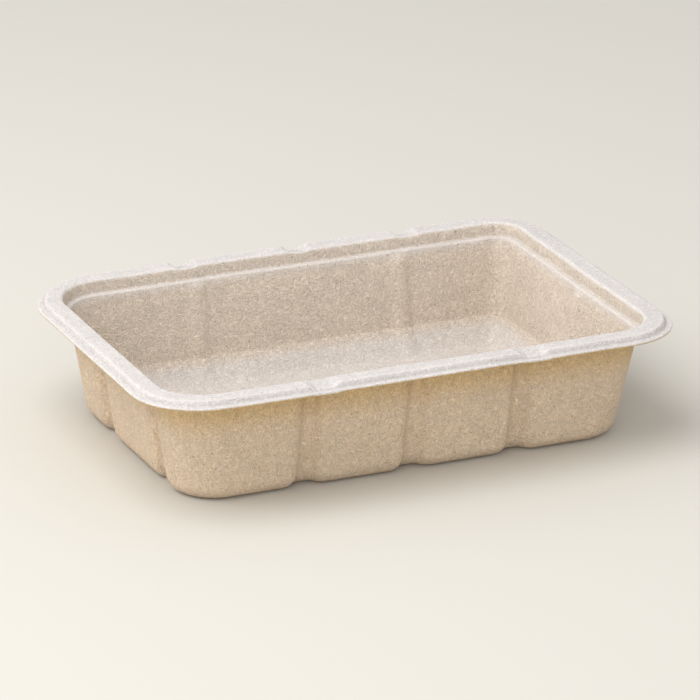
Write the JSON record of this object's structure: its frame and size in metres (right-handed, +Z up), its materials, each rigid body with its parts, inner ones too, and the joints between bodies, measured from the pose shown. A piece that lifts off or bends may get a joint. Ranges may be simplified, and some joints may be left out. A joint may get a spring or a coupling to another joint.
{
  "type": "bagasse meal box",
  "caption": "Open rectangular food tray moulded from bagasse pulp, with a stepped rim, drafted walls, upright stiffening grooves and a flat base.",
  "frame": {"origin": "centre of the base, on the surface that the tray stands on", "axes": "+X along the tray's length, +Y across it, +Z up out of the open top"},
  "size_m": [0.228, 0.161, 0.049],
  "materials": {
    "bagasse_pulp": "matt pressed pulp, natural beige, fine fibres and specks"
  },
  "bodies": {
    "root": {"meal_tray": "bagasse_pulp"}
  },
  "joints": []
}
